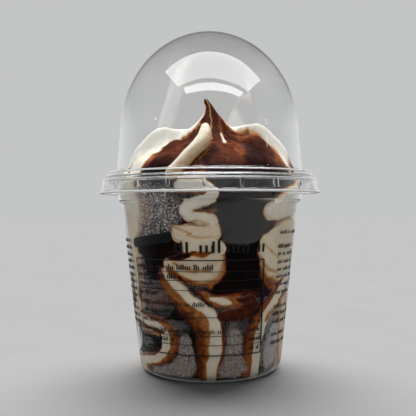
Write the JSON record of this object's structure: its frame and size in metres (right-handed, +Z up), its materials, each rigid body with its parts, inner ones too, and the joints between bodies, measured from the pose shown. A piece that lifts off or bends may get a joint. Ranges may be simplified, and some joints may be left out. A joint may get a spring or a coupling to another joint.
{
  "type": "cup of chocolate sundae",
  "caption": "Shut clear sundae cup with a tall dome lid, filled with folded vanilla soft ice cream and chocolate sauce that rises to a soft peak.",
  "frame": {"origin": "middle of the base on the ground", "axes": "+Z up along the cup's axis, -Y towards the side that shows the folded ice cream"},
  "size_m": [0.0758, 0.0758, 0.1152],
  "materials": {
    "cup_plastic": "clear thin plastic, slightly frosted by the cold",
    "lid_plastic": "clear glossy thin plastic",
    "vanilla": "soft frozen cream, satin, streaked with sauce",
    "chocolate": "dark chocolate sauce, glossy"
  },
  "bodies": {
    "root": {"cup": "cup_plastic", "dome_lid": "lid_plastic", "ice_cream": "vanilla", "sauce_channel_front": "chocolate", "sauce_pool_back_left": "chocolate", "sauce_pool_back_right": "chocolate", "sauce_pool_hook": "chocolate", "sauce_pool_left": "chocolate", "sauce_pool_right": "chocolate"}
  },
  "joints": []
}
